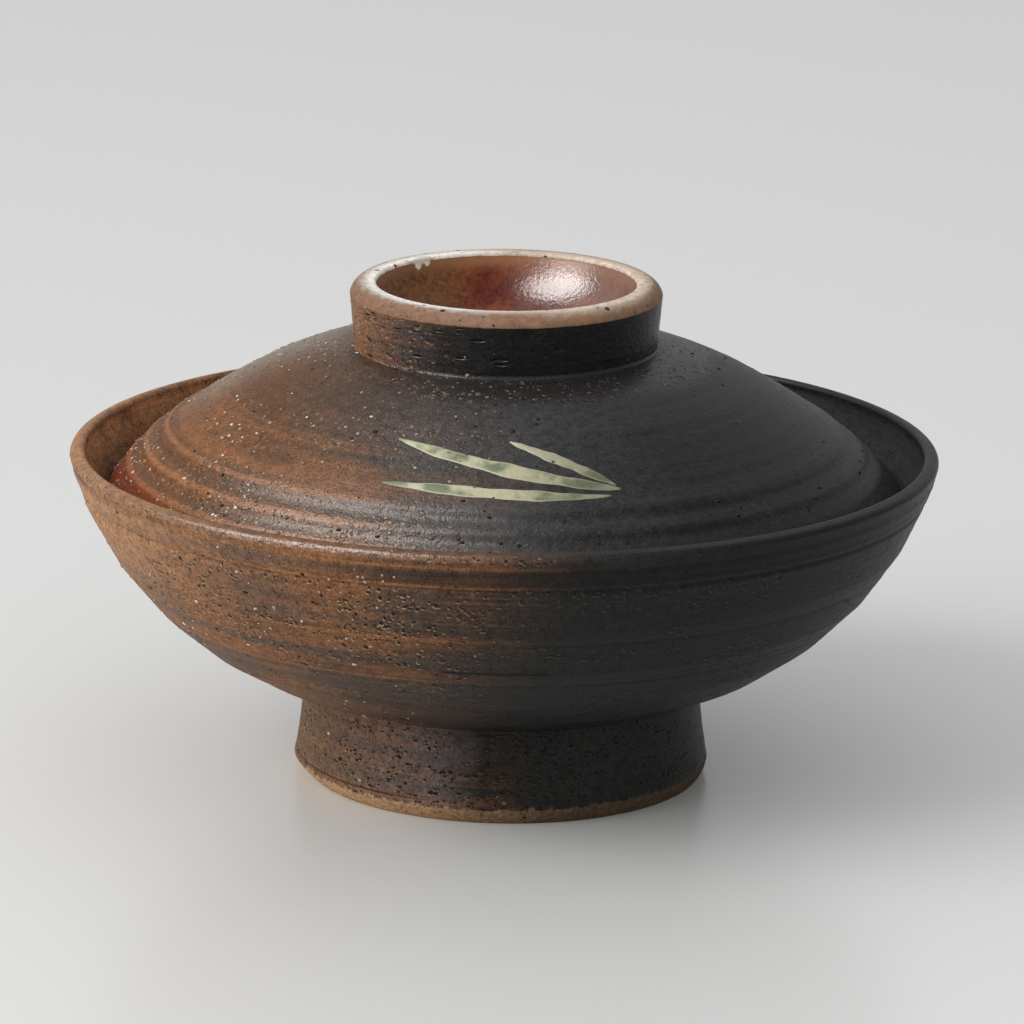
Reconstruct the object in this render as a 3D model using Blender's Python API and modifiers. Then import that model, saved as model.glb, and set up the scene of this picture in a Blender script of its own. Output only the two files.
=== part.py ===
# Lidded footed bowl in wheel-thrown stoneware: a flared bowl luted to a tall foot ring, and a
# domed lid that drops into the bowl's mouth and carries a ring-shaped grip.
# Metres, +Z up, origin at the centre of the foot's underside.

import math

import bpy

# Driving dimensions of the bowl
RIM_RADIUS = 0.0840
RIM_HEIGHT = 0.0651
LIP_THICKNESS = 0.0034
WALL_BELLY = 0.0082          # how far the outside stands off a straight line from base to lip
INSIDE_BELLY = 0.0075        # the same for the inside, from floor to lip
FLOOR_RADIUS = 0.0350
FLOOR_THICKNESS = 0.0050
FLOOR_DISH = 0.0012          # drop of the floor from its edge to its centre

# Driving dimensions of the foot ring
FOOT_HEIGHT = 0.0183
FOOT_TOP_RADIUS = 0.0387
FOOT_FLARE_RADIUS = 0.0401   # widest point, just above the bevelled lower edge
FOOT_FLARE_HEIGHT = 0.0032
FOOT_REST_RADIUS = 0.0386
FOOT_REST_WIDTH = 0.0044
FOOT_BEVEL_BELLY = 0.0005    # rounding of the bevelled lower edge
FOOT_INNER_BEVEL = 0.0010
FOOT_WALL_AT_TOP = 0.0066

# Driving dimensions of the lid
SEAT_DROP = 0.0100           # from the top of the lip to the line where the lid rests
LID_EDGE_RADIUS = 0.0020     # half the thickness of the lid's rounded edge
LID_RISE = 0.0290            # from the middle of the edge to the crown under the grip
DOME_BELLY = 0.0053
DOME_THICKNESS_AT_CROWN = 0.0048
UNDER_CROWN_RADIUS = 0.0250
UNDER_CROWN_DISH = 0.0008
UNDER_BELLY = 0.0062
RIDGE_COUNT = 4              # throwing ridges on the lower dome
RIDGE_PITCH = 0.0040
RIDGE_HEIGHT = 0.0005
RIDGE_CREST = 0.6            # place of the crest along one pitch, past the middle as a finger leaves it

# Driving dimensions of the lid's ring grip
GRIP_HEIGHT = 0.0122
GRIP_BASE_RADIUS = 0.0286
GRIP_CORNER_RADIUS = 0.0301
GRIP_CORNER_DROP = 0.0012    # from the flat top to the grip's widest corner
GRIP_FLAT_RADIUS = 0.0284
GRIP_MOUTH_RADIUS = 0.0242
GRIP_MOUTH_ROUND = 0.0006
GRIP_WELL_RADIUS = 0.0185    # inside of the grip where it meets the crown
GRIP_WELL_BELLY = 0.0014

# Fits and facets
CLEARANCE = 0.0003           # between pieces that touch
MERGE_DISTANCE = 0.00001
TURN_STEPS = 64
LONG_ARC = 11                # stretches in a long arc
SHORT_ARC = 5                # stretches in a short one

COLLECTION_NAME = "lidded_footed_bowl"

for leftover in list(bpy.data.objects):
    bpy.data.objects.remove(leftover, do_unlink=True)

collection = bpy.data.collections.new(COLLECTION_NAME)
bpy.context.scene.collection.children.link(collection)


def arc_circle(start, end, belly):
    # Centre and signed turn of the arc whose middle stands belly to the left of the way from start to end
    along_r = end[0] - start[0]
    along_z = end[1] - start[1]
    chord = math.hypot(along_r, along_z)
    turn = 4.0 * math.atan(2.0 * belly / chord)
    back = 0.5 / math.tan(turn / 2.0)
    centre_r = (start[0] + end[0]) / 2.0 + along_z * back
    centre_z = (start[1] + end[1]) / 2.0 - along_r * back
    return (centre_r, centre_z), turn


def arc_points(start, end, belly, stretches):
    # Points of that arc after its start, up to and including its end
    (centre_r, centre_z), turn = arc_circle(start, end, belly)
    radius = math.dist(start, (centre_r, centre_z))
    first = math.atan2(start[1] - centre_z, start[0] - centre_r)
    points = []
    for step in range(1, stretches):
        angle = first - turn * step / stretches
        points.append((centre_r + radius * math.cos(angle), centre_z + radius * math.sin(angle)))
    points.append(end)
    return points


def round_points(centre, radius, from_angle, to_angle, stretches):
    # Points on a circle from one angle to another, both included
    points = []
    for step in range(stretches + 1):
        angle = from_angle + (to_angle - from_angle) * step / stretches
        points.append((centre[0] + radius * math.cos(angle), centre[1] + radius * math.sin(angle)))
    return points


def clay(name, colour, roughness):
    material = bpy.data.materials.new(name)
    material.use_nodes = True
    shader = material.node_tree.nodes["Principled BSDF"]
    shader.inputs["Base Color"].default_value = (*colour, 1.0)
    shader.inputs["Roughness"].default_value = roughness
    shader.inputs["Metallic"].default_value = 0.0
    return material


def turned(name, profile, material, carrier, closed):
    # A profile of (radius, height) points, turned about the Z axis of its carrier
    vertices = [(radius, 0.0, height - carrier.location.z) for radius, height in profile]
    edges = [(index, index + 1) for index in range(len(vertices) - 1)]
    if closed:
        edges.append((len(vertices) - 1, 0))
    mesh = bpy.data.meshes.new(name)
    mesh.from_pydata(vertices, edges, [])
    mesh.materials.append(material)
    piece = bpy.data.objects.new(name, mesh)
    collection.objects.link(piece)
    piece.parent = carrier
    screw = piece.modifiers.new("turn", "SCREW")
    screw.axis = "Z"
    screw.angle = math.tau
    screw.steps = TURN_STEPS
    screw.render_steps = TURN_STEPS
    screw.use_merge_vertices = True
    screw.merge_threshold = MERGE_DISTANCE
    screw.use_smooth_shade = True
    return piece


def axis_empty(name, height):
    # An empty on the turning axis that carries the pieces of one body
    empty = bpy.data.objects.new(name, None)
    empty.location = (0.0, 0.0, height)
    collection.objects.link(empty)
    return empty


# Heights and points that several pieces share
base_height = FOOT_HEIGHT + CLEARANCE
lip_round = LIP_THICKNESS / 2.0
lip_centre = (RIM_RADIUS - lip_round, RIM_HEIGHT - lip_round)
lip_outside = (RIM_RADIUS, lip_centre[1])
lip_inside = (RIM_RADIUS - LIP_THICKNESS, lip_centre[1])
floor_edge = (FLOOR_RADIUS, base_height + FLOOR_THICKNESS + FLOOR_DISH)

# The lid rests where its round edge touches the inside arc of the bowl, one clearance off it
inside_centre, _ = arc_circle(floor_edge, lip_inside, -INSIDE_BELLY)
inside_radius = math.dist(lip_inside, inside_centre)
seat_angle = math.asin((RIM_HEIGHT - SEAT_DROP - inside_centre[1]) / inside_radius)
edge_reach = inside_radius - CLEARANCE - LID_EDGE_RADIUS
edge_centre = (
    inside_centre[0] + edge_reach * math.cos(seat_angle),
    inside_centre[1] + edge_reach * math.sin(seat_angle),
)
crown_height = edge_centre[1] + LID_RISE
grip_base_height = crown_height + CLEARANCE
grip_top_height = grip_base_height + GRIP_HEIGHT


def bowl_profile():
    # From the middle of the floor up the inside, over the lip, down the outside and under the base
    profile = [(0.0, floor_edge[1] - FLOOR_DISH)]
    profile += arc_points(profile[0], floor_edge, -FLOOR_DISH / 4.0, SHORT_ARC)
    profile += arc_points(floor_edge, lip_inside, -INSIDE_BELLY, LONG_ARC)
    profile += round_points(lip_centre, lip_round, math.pi, 0.0, SHORT_ARC + 1)[1:]
    profile += arc_points(lip_outside, (FOOT_TOP_RADIUS, base_height), WALL_BELLY, LONG_ARC)
    profile.append((0.0, base_height))
    return profile


def foot_profile():
    # Down the flared outside, across the flat that it stands on and up the inside
    rest_inner = FOOT_REST_RADIUS - FOOT_REST_WIDTH
    profile = [(FOOT_TOP_RADIUS, FOOT_HEIGHT)]
    profile.append((FOOT_FLARE_RADIUS, FOOT_FLARE_HEIGHT))
    profile += arc_points(profile[-1], (FOOT_REST_RADIUS, 0.0), FOOT_BEVEL_BELLY, SHORT_ARC)
    profile.append((rest_inner, 0.0))
    profile.append((rest_inner - FOOT_INNER_BEVEL, FOOT_INNER_BEVEL))
    profile.append((FOOT_TOP_RADIUS - FOOT_WALL_AT_TOP, FOOT_HEIGHT))
    return profile


def dome_points(start, end):
    # The outside of the dome: smooth below the grip, then a band of stepped throwing ridges
    centre, turn = arc_circle(start, end, DOME_BELLY)
    radius = math.dist(start, centre)
    first = math.atan2(start[1] - centre[1], start[0] - centre[0])
    ridge_turn = RIDGE_PITCH / radius
    smooth_turn = turn - ridge_turn * RIDGE_COUNT
    points = []
    for step in range(1, SHORT_ARC + 1):
        points.append((radius, first - smooth_turn * step / SHORT_ARC))
    for ridge in range(RIDGE_COUNT):
        ridge_start = first - smooth_turn - ridge_turn * ridge
        points.append((radius + RIDGE_HEIGHT, ridge_start - ridge_turn * RIDGE_CREST))
        points.append((radius, ridge_start - ridge_turn))
    return [(centre[0] + reach * math.cos(a), centre[1] + reach * math.sin(a)) for reach, a in points]


def lid_profile():
    # From the middle of the crown over the dome, round the edge and back under the dome
    shoulder = (GRIP_BASE_RADIUS, crown_height)
    _, dome_turn = arc_circle(shoulder, edge_centre, DOME_BELLY)
    chord_angle = math.atan2(edge_centre[1] - crown_height, edge_centre[0] - GRIP_BASE_RADIUS)
    edge_angle = chord_angle - dome_turn / 2.0 + math.pi / 2.0
    edge = round_points(edge_centre, LID_EDGE_RADIUS, edge_angle, edge_angle - math.pi, SHORT_ARC + 1)
    under_height = crown_height - DOME_THICKNESS_AT_CROWN
    under_edge = (UNDER_CROWN_RADIUS, under_height - UNDER_CROWN_DISH)
    profile = [(0.0, crown_height), shoulder]
    profile += dome_points(shoulder, edge[0])
    profile += edge[1:]
    profile += arc_points(edge[-1], under_edge, -UNDER_BELLY, LONG_ARC)
    profile += arc_points(under_edge, (0.0, under_height), -UNDER_CROWN_DISH / 4.0, SHORT_ARC)
    return profile


def grip_profile():
    # Over the corner and down the outside, across the base and up the hollowed inside
    mouth_low = (GRIP_MOUTH_RADIUS, grip_top_height - GRIP_MOUTH_ROUND)
    mouth_high = (GRIP_MOUTH_RADIUS + GRIP_MOUTH_ROUND, grip_top_height)
    profile = [mouth_high]
    profile.append((GRIP_FLAT_RADIUS, grip_top_height))
    profile.append((GRIP_CORNER_RADIUS, grip_top_height - GRIP_CORNER_DROP))
    profile.append((GRIP_BASE_RADIUS, grip_base_height))
    profile.append((GRIP_WELL_RADIUS, grip_base_height))
    profile += arc_points(profile[-1], mouth_low, -GRIP_WELL_BELLY, SHORT_ARC)
    return profile


# The bowl's body stands still; the lid's body lifts along the shared axis
bowl_axis = axis_empty("bowl_axis", 0.0)
lid_axis = axis_empty("lid_axis", edge_centre[1])

brown_clay = clay("brown_clay", (0.105, 0.060, 0.036), 0.62)
foot_clay = clay("foot_clay", (0.090, 0.052, 0.033), 0.70)
dark_clay = clay("dark_clay", (0.066, 0.047, 0.036), 0.52)
tan_clay = clay("tan_clay", (0.290, 0.155, 0.085), 0.60)

turned("bowl", bowl_profile(), brown_clay, bowl_axis, closed=False)
turned("foot_ring", foot_profile(), foot_clay, bowl_axis, closed=True)
turned("lid", lid_profile(), dark_clay, lid_axis, closed=False)
turned("lid_ring", grip_profile(), tan_clay, lid_axis, closed=True)
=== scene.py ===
import math
from functools import partial

import bmesh
import bpy
from mathutils import Matrix, Vector


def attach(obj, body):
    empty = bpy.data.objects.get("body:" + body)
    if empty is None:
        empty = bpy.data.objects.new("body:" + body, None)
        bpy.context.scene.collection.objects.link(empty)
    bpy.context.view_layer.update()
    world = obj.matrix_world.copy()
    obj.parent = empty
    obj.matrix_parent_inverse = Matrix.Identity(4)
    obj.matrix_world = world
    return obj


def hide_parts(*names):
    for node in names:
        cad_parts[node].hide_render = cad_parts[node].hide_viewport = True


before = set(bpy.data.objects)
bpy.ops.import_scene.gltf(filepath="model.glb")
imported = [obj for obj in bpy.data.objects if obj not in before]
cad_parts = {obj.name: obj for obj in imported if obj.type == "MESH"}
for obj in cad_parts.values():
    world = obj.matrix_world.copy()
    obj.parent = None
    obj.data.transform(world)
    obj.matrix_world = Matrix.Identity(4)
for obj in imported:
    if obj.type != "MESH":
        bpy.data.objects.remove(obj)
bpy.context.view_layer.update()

mm = 0.001


# Nodes

def pick(sockets, key):
    shown = [socket for socket in sockets if socket.enabled]
    if isinstance(key, int):
        return shown[key]
    for socket in shown:
        if key in (socket.identifier, socket.name):
            return socket
    raise KeyError(f"no socket {key} among {[socket.name for socket in shown]}")


class Wire:
    # one output of a node, in a shader or geometry tree; sums on it add Math nodes
    def __init__(self, tree, socket):
        self.tree = tree
        self.socket = socket

    @staticmethod
    def node(tree, kind, settings=None, sockets=None):
        made = tree.nodes.new(kind)
        for name, value in (settings or {}).items():
            if name == "stops":
                ramp = made.color_ramp
                while len(ramp.elements) < len(value):
                    ramp.elements.new(0.5)
                for element, (place, colour) in zip(ramp.elements, value):
                    element.position = place
                    element.color = (*colour, 1.0)
            else:
                setattr(made, name, value)
        for name, value in (sockets or {}).items():
            plug = pick(made.inputs, name)
            if isinstance(value, Wire):
                tree.links.new(value.socket, plug)
            else:
                plug.default_value = value
        outputs = [socket for socket in made.outputs if socket.enabled]
        return Wire(tree, outputs[0] if outputs else None)

    def out(self, name):
        return Wire(self.tree, pick(self.socket.node.outputs, name))

    def math(self, operation, *values):
        return Wire.node(self.tree, "ShaderNodeMath", {"operation": operation}, dict(enumerate(values)))

    def __add__(self, other):
        return self.math("ADD", self, other)

    def __radd__(self, other):
        return self.math("ADD", other, self)

    def __sub__(self, other):
        return self.math("SUBTRACT", self, other)

    def __rsub__(self, other):
        return self.math("SUBTRACT", other, self)

    def __mul__(self, other):
        return self.math("MULTIPLY", self, other)

    def __rmul__(self, other):
        return self.math("MULTIPLY", other, self)

    def __truediv__(self, other):
        return self.math("DIVIDE", self, other)

    def __rtruediv__(self, other):
        return self.math("DIVIDE", other, self)

    def __pow__(self, other):
        return self.math("POWER", self, other)

    def __neg__(self):
        return self.math("MULTIPLY", self, -1.0)


def combine(add, x=0.0, y=0.0, z=0.0):
    return add("ShaderNodeCombineXYZ", None, {"X": x, "Y": y, "Z": z})


def step(add, value, low, high, start=0.0, end=1.0):
    # smooth step from start at low to end at high
    return add("ShaderNodeMapRange", {"interpolation_type": "SMOOTHSTEP"},
               {"Value": value, "From Min": low, "From Max": high, "To Min": start, "To Max": end})


def noise(add, vector, scale, detail=3.0, roughness=0.55):
    return add("ShaderNodeTexNoise", {"noise_dimensions": "3D"},
               {"Vector": vector, "Scale": scale, "Detail": detail, "Roughness": roughness})


# Profiles, as (radius, height) points with the clay's zones on them

def arcCircle(start, end, belly):
    # centre and turn of the arc whose middle stands belly to the left of the way from start to end
    alongR = end[0] - start[0]
    alongZ = end[1] - start[1]
    turn = 4.0 * math.atan(2.0 * belly / math.hypot(alongR, alongZ))
    back = 0.5 / math.tan(turn / 2.0)
    centre = ((start[0] + end[0]) / 2.0 + alongZ * back, (start[1] + end[1]) / 2.0 - alongR * back)
    return centre, turn


def arcPoints(start, end, belly, steps):
    centre, turn = arcCircle(start, end, belly)
    radius = math.dist(start, centre)
    first = math.atan2(start[1] - centre[1], start[0] - centre[0])
    angles = [first - turn * step / steps for step in range(steps + 1)]
    return [(centre[0] + radius * math.cos(a), centre[1] + radius * math.sin(a)) for a in angles]


def roundPoints(centre, radius, fromAngle, toAngle, steps):
    angles = [fromAngle + (toAngle - fromAngle) * step / steps for step in range(steps + 1)]
    return [(centre[0] + radius * math.cos(a), centre[1] + radius * math.sin(a)) for a in angles]


def linePoints(start, end, steps):
    shares = [step / steps for step in range(steps + 1)]
    return [(start[0] + (end[0] - start[0]) * t, start[1] + (end[1] - start[1]) * t) for t in shares]


def curvePoints(start, startHandle, endHandle, end, steps):
    points = []
    for step in range(steps + 1):
        t = step / steps
        weights = ((1 - t) ** 3, 3 * t * (1 - t) ** 2, 3 * t * t * (1 - t), t ** 3)
        corners = (start, startHandle, endHandle, end)
        points.append(tuple(sum(w * c[axis] for w, c in zip(weights, corners)) for axis in (0, 1)))
    return points


def hump(distance, width):
    return math.exp(-(distance / width) ** 2)


def clamp(value, low=0.0, high=1.0):
    return min(high, max(low, value))


def fade(value, start, full):
    # straight from 0 at start to 1 at full
    return clamp((value - start) / (full - start))


def leftOf(before, after):
    # unit vector to the left of the way from before to after
    length = math.dist(before, after)
    return (before[1] - after[1]) / length, (after[0] - before[0]) / length


def distancesAlong(points):
    distances = [0.0]
    for before, after in zip(points, points[1:]):
        distances.append(distances[-1] + math.dist(before, after))
    return distances


class Profile:
    # stretches of points in millimetres; each point keeps its zone values
    zones = ("ring", "grain", "bare", "glaze", "spiral", "lean", "stepOut", "stepUp")
    closest = 0.004              # a point nearer than this to the one before is left out

    def __init__(self):
        self.points = []
        self.values = []

    def add(self, points, **zones):
        # a zone is a number, or a function of radius and height
        for point in points:
            if self.points and math.dist(point, self.points[-1]) < self.closest:
                continue
            self.points.append(point)
            row = []
            for name in self.zones:
                value = zones.get(name, 0.0)
                row.append(value(*point) if callable(value) else value)
            self.values.append(row)
        return self

    def mesh(self, name):
        mesh = bpy.data.meshes.new(name)
        vertices = [(radius * mm, 0.0, height * mm) for radius, height in self.points]
        mesh.from_pydata(vertices, [(i, i + 1) for i in range(len(vertices) - 1)], [])
        columns = {zone: [row[i] for row in self.values] for i, zone in enumerate(self.zones)}
        columns["along"] = [distance * mm for distance in distancesAlong(self.points)]
        for zone, column in columns.items():
            attribute = mesh.attributes.new(zone, "FLOAT", "POINT")
            attribute.data.foreach_set("value", column)
        return mesh


# The turning tree: a profile goes round the wheel, then gets its throwing rings

turning = {
    "stepsAround": 256,
    "weld": 0.00001,
    "ringDrift": 9.0,            # how quickly a fine ring changes on its way round
    "ringDetail": 2.0,
    "ringRoughness": 0.6,
    "swayScale": 16.0,
    "sway": 1.6,                 # how far the spiral wanders, in radians
    "spiralPitch": 0.01,         # where a piece gives none of its own
    "soft": (0.022, 0.055),      # the terraces fade between these places to the right, in metres
}


def newTree(name, inputs, result):
    # inputs are the names of the tree's sockets, by their kind
    tree = bpy.data.node_groups.new(name, "GeometryNodeTree")
    for kind, sockets in inputs.items():
        for socket in sockets:
            tree.interface.new_socket(name=socket, in_out="INPUT", socket_type="NodeSocket" + kind)
    tree.interface.new_socket(name=result, in_out="OUTPUT", socket_type="NodeSocketGeometry")
    return tree, partial(Wire.node, tree)


def turningTree():
    tree, add = newTree("turnedClay", {
        "Geometry": ("Profile",),
        "Int": ("Steps around",),
        "Float": ("Ring depth", "Rings per metre", "Spiral depth", "Spiral pitch", "Lean right", "Lean back",
                  "Shift right", "Soften right", "Seed"),
        "Material": ("Skin",),
    }, "Turned")
    given = add("NodeGroupInput")
    profile = given.out("Profile")
    columns = given.out("Steps around") + 1.0
    count = add("GeometryNodeAttributeDomainSize", {"component": "MESH"}, {"Geometry": profile})
    form = add("GeometryNodeMeshGrid", None, {"Vertices X": count, "Vertices Y": columns})
    position = add("GeometryNodeInputPosition")

    # the grid's row is the profile's point, its column is the turn
    index = add("GeometryNodeInputIndex")
    row = index.math("FLOOR", (index + 0.5) / columns)
    turn = (index - row * columns) / (columns - 1.0) * math.tau

    def onProfile(dataType, value):
        settings = {"data_type": dataType, "domain": "POINT"}
        return add("GeometryNodeSampleIndex", settings, {"Geometry": profile, "Value": value, "Index": row})

    def zoneValue(name):
        return add("GeometryNodeInputNamedAttribute", {"data_type": "FLOAT"}, {"Name": name})

    def moveForm(offset):
        return add("GeometryNodeSetPosition", None, {"Geometry": form, "Offset": offset})

    point = add("ShaderNodeSeparateXYZ", None, {0: onProfile("FLOAT_VECTOR", position)})
    radius = point.out("X")
    place = combine(add, radius * turn.math("COSINE", turn), radius * turn.math("SINE", turn), point.out("Z"))
    for name in (*Profile.zones, "along"):
        form = add("GeometryNodeStoreNamedAttribute", {"data_type": "FLOAT", "domain": "POINT"},
                   {"Geometry": form, "Name": name, "Value": onProfile("FLOAT", zoneValue(name))})
    form = add("GeometryNodeSetPosition", None, {"Geometry": form, "Position": place})
    form = add("GeometryNodeMergeByDistance", None, {"Geometry": form, "Distance": turning["weld"]})

    # fine rings run round with the wheel, broad scallops climb as one spiral
    here = add("ShaderNodeSeparateXYZ", None, {0: position})
    x, y = here.out("X"), here.out("Y")
    along = zoneValue("along")
    ringPlace = combine(add, x * turning["ringDrift"], y * turning["ringDrift"],
                        along * given.out("Rings per metre") + given.out("Seed"))
    rings = noise(add, ringPlace, 1.0, turning["ringDetail"], turning["ringRoughness"])
    fine = (rings - 0.5) * 2.0 * given.out("Ring depth") * zoneValue("ring")
    angle = here.math("ARCTAN2", y, x)
    sway = noise(add, position, turning["swayScale"], 1.0, 0.5)
    phase = along * math.pi / given.out("Spiral pitch") + angle * 0.5 + (sway - 0.5) * turning["sway"]
    scallop = phase.math("SINE", phase)
    scallop = 1.0 - scallop.math("ABSOLUTE", scallop) * 2.0
    broad = scallop * given.out("Spiral depth") * zoneValue("spiral")
    form = moveForm(add("ShaderNodeVectorMath", {"operation": "SCALE"},
                        {0: add("GeometryNodeInputNormal"), "Scale": fine + broad}))

    # a piece that was set down askew leans or stands aside
    rise = x * given.out("Lean right") + y * given.out("Lean back")
    lean = zoneValue("lean")
    form = moveForm(combine(add, x=given.out("Shift right") * lean, z=rise * lean))

    # terraces are softer at the right
    ease = step(add, x, *turning["soft"], 0.0, given.out("Soften right"))
    inwards = -zoneValue("stepOut") * ease / (x * x + y * y) ** 0.5
    form = moveForm(combine(add, x * inwards, y * inwards, -zoneValue("stepUp") * ease))
    form = add("GeometryNodeSetShadeSmooth", None, {"Geometry": form})
    form = add("GeometryNodeRealizeInstances", None, {"Geometry": form})
    form = add("GeometryNodeSetMaterial", None, {"Geometry": form, "Material": given.out("Skin")})
    add("NodeGroupOutput", None, {"Turned": form})
    return tree


def addObject(name, data):
    made = bpy.data.objects.new(name, data)
    bpy.context.scene.collection.objects.link(made)
    return made


def settle(carrier, name, tree, inputs):
    # runs a tree on the carrier mesh and keeps the result as a plain mesh
    worker = addObject(name + "_carrier", carrier)
    modifier = worker.modifiers.new("shape", "NODES")
    modifier.node_group = tree
    for socket in tree.interface.items_tree:
        if socket.in_out == "INPUT" and socket.name in inputs:
            modifier[socket.identifier] = inputs[socket.name]
    evaluated = worker.evaluated_get(bpy.context.evaluated_depsgraph_get())
    mesh = bpy.data.meshes.new_from_object(evaluated)
    mesh.name = name
    bpy.data.objects.remove(worker)
    return mesh


def outward(mesh):
    shell = bmesh.new()
    shell.from_mesh(mesh)
    bmesh.ops.recalc_face_normals(shell, faces=shell.faces)
    shell.to_mesh(mesh)
    shell.free()


def turned(name, profile, skin, inputs):
    mesh = settle(profile.mesh(name + "_profile"), name, turnedClay, {
        "Steps around": turning["stepsAround"], "Spiral pitch": turning["spiralPitch"],
        "Skin": skin, **inputs})
    outward(mesh)
    print("turned", name, "with", len(profile.points), "profile points,", len(mesh.polygons), "faces")
    return addObject(name, mesh)


turnedClay = turningTree()


# Clay and glaze

def newMaterial(name):
    material = bpy.data.materials.new(name)
    material.use_nodes = True
    material.node_tree.nodes.clear()
    return material, partial(Wire.node, material.node_tree)


def mixColour(add, factor, first, second):
    def tone(value):
        return value if isinstance(value, Wire) else (*value, 1.0)
    return add("ShaderNodeMix", {"data_type": "RGBA"},
               {"Factor_Float": factor, "A_Color": tone(first), "B_Color": tone(second)}).out("Result_Color")


def shade(add, colour, amount):
    # a colour made lighter or darker by a value
    return add("ShaderNodeVectorMath", {"operation": "SCALE"}, {0: colour, "Scale": amount})


def moved(add, vector, shift):
    return add("ShaderNodeVectorMath", {"operation": "ADD"}, {0: vector, 1: shift})


def stretched(add, vector, x, y, z):
    return add("ShaderNodeVectorMath", {"operation": "MULTIPLY"}, {0: vector, 1: (x, y, z)})


def zone(add, name):
    return add("ShaderNodeAttribute", {"attribute_type": "GEOMETRY", "attribute_name": name}).out("Fac")


def band(add, value, middle, half, soft):
    # 1 inside a stretch, falling to 0 over soft
    gap = (value - middle).math("ABSOLUTE", value - middle)
    return 1.0 - step(add, gap, half, half + soft)


pitLook = {
    "smallest": 0.3,             # the smallest pit, as a share of the largest
    "wall": 0.55,                # where a pit's wall starts, as a share of its reach
    "fine": (1100.0, 0.34, 0.56),  # cells per metre, share of cells with a pit, reach in cells
    "wide": (700.0, 0.42, 0.52),
    "raggedScale": 900.0,
    "ragged": 0.0008,            # how far the outlines wander, in metres
    "crumbShift": (0.00015, -0.00012, 0.00034),
    "crumbs": 0.75,
    # how strongly the painted shade fills a hole
    "holes": 0.92,
}


def pits(add, vector, scale, share, size):
    # small uneven holes: one in each cell that is drawn, of its own size
    cells = add("ShaderNodeTexVoronoi", {"feature": "F1"}, {
        "Vector": vector, "Scale": scale, "Randomness": 1.0})
    lot = add("ShaderNodeSeparateColor", None, {"Color": cells.out("Color")})
    drawn = step(add, lot.out("Red"), 1.0 - share, 1.0 - share + 0.02)
    reach = (lot.out("Green") * (1.0 - pitLook["smallest"]) + pitLook["smallest"]) * size
    return drawn * (1.0 - step(add, cells.out("Distance"), reach * pitLook["wall"], reach))


def openPits(add, place, flat, thick):
    # holes where grains fell out, each with a crumb left beside it
    # thick is the share of ground that has them
    def field(shift):
        spot = moved(add, place, shift)
        ragged = noise(add, spot, pitLook["raggedScale"], 1.0, 0.5).out("Color")
        spot = moved(add, spot, shade(add, ragged, pitLook["ragged"]))
        spot = stretched(add, spot, 1.0, 1.0, flat)
        fine = pits(add, spot, *pitLook["fine"])
        wide = pits(add, spot, *pitLook["wide"])
        return fine.math("MAXIMUM", fine, wide) * thick

    holes = field((0.0, 0.0, 0.0))
    crumbs = field(pitLook["crumbShift"]) * (1.0 - holes)
    return holes, crumbs


clayTones = {
    # pitShade is a painted shade for the inside of pits, dashes and scratches
    "pitShade": (0.008, 0.006, 0.005),
    "crumb": (0.560, 0.345, 0.170),
    "crumbDark": (0.095, 0.080, 0.066),
}


def pitted(add, colour, holes, crumbs, warm):
    # crumbs keep the clay's own colour; the holes get the painted pit shade
    crumb = mixColour(add, warm, clayTones["crumbDark"], clayTones["crumb"])
    colour = mixColour(add, crumbs * pitLook["crumbs"], colour, crumb)
    return mixColour(add, holes * pitLook["holes"], colour, clayTones["pitShade"])


def clayBasis(add):
    # the coordinates that every clay piece's look is drawn on
    # the last of them has the way along the profile for its height
    place = add("ShaderNodeTexCoord").out("Object")
    axes = add("ShaderNodeSeparateXYZ", None, {0: place})
    x, y, z = (axes.out(name) for name in "XYZ")
    radius = (x * x + y * y).math("SQRT", x * x + y * y)
    return place, (x, y, z), radius, combine(add, x, y, zone(add, "along"))


flashLook = {
    "driftScale": 26.0,
    "drift": 0.026,
    "flashFrom": -0.084,
    "flashTo": 0.030,
    "cooling": (0.45, 0.85),     # where the warm side ends, as a share of the flash
    "rise": 0.0,                 # how far the flash leans over with height
    "riseFrom": 0.046,
    "patchScale": 38.0,
    "sandScale": 2300.0,
    "blotchScale": 560.0,
    "streaks": (14.0, 14.0, 1100.0),
    "bands": (6.0, 6.0, 240.0),
    "hot": 0.40,
    "hotFrom": (0.45, 0.58),
    "orange": (0.340, 0.128, 0.038),
    "smoke": 0.42,
    "smokeFrom": (0.38, 0.50),
    "smokeTone": (0.094, 0.069, 0.056),
    "stops": ((0.00, (0.432, 0.217, 0.104)), (0.28, (0.174, 0.091, 0.052)), (0.56, (0.068, 0.043, 0.030)),
              (0.70, (0.028, 0.022, 0.019)), (0.82, (0.0150, 0.0146, 0.0140)),
              (1.00, (0.0115, 0.0115, 0.0110))),
}


def grainy(level, sand, blotch):
    return level + sand * 2.2 + blotch * 1.8


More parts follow.
